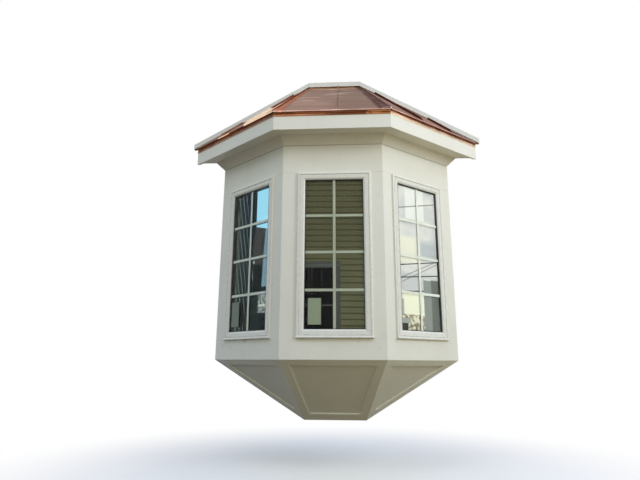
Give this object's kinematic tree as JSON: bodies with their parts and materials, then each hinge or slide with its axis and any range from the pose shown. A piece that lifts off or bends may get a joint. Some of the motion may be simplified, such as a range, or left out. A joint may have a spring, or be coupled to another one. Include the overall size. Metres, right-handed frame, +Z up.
{
  "type": "bay window",
  "caption": "wall-hung angled bay window with white trim boards, double-glazed windows with grilles, a copper hip roof with eaves and a panelled, tapering base",
  "frame": {"origin": "middle of the back face of the platform ledger, which is fastened to the house wall", "axes": "+X to the right as seen from outside, +Y into the house, out of the wall face, +Z up"},
  "size_m": [2.6698, 0.7185, 3.0977],
  "materials": {
    "white_pvc": "smooth white cellular PVC trim board, satin",
    "white_vinyl": "smooth white vinyl, semi-gloss",
    "glass": "clear double glazing",
    "spacer": "black warm-edge spacer bar",
    "copper": "new copper sheet, satin, lightly streaked",
    "framing_wood": "planed softwood framing",
    "plywood": "sanded softwood plywood",
    "painted_board": "interior lining board, matt off-white paint"
  },
  "bodies": {
    "root": {"platform_ledger": "framing_wood", "platform": "framing_wood", "seat_board": "painted_board", "ceiling_board": "painted_board", "left_wall": "painted_board", "front_wall": "painted_board", "right_wall": "painted_board", "left_apron": "white_pvc", "front_apron": "white_pvc", "right_apron": "white_pvc", "left_stiles": "white_pvc", "front_stiles": "white_pvc", "right_stiles": "white_pvc", "left_head_panel": "white_pvc", "front_head_panel": "white_pvc", "right_head_panel": "white_pvc", "left_window_frame": "white_vinyl", "front_window_frame": "white_vinyl", "right_window_frame": "white_vinyl", "left_glass": "glass", "front_glass": "glass", "right_glass": "glass", "window_grilles": "white_vinyl", "frieze": "white_pvc", "soffit": "white_pvc", "left_fascia": "white_pvc", "front_fascia": "white_pvc", "right_fascia": "white_pvc", "roof_ledger": "framing_wood", "rafters": "framing_wood", "roof_deck": "plywood", "left_roof_pans": "copper", "front_roof_pans": "copper", "right_roof_pans": "copper", "roof_seams": "copper", "hip_caps": "copper", "drip_edge": "copper", "wall_trim": "white_pvc", "base_brackets": "framing_wood", "base_left_panel": "white_pvc", "base_front_panel": "white_pvc", "base_right_panel": "white_pvc", "base_left_frame": "white_pvc", "base_front_frame": "white_pvc", "base_right_frame": "white_pvc"}
  },
  "joints": []
}
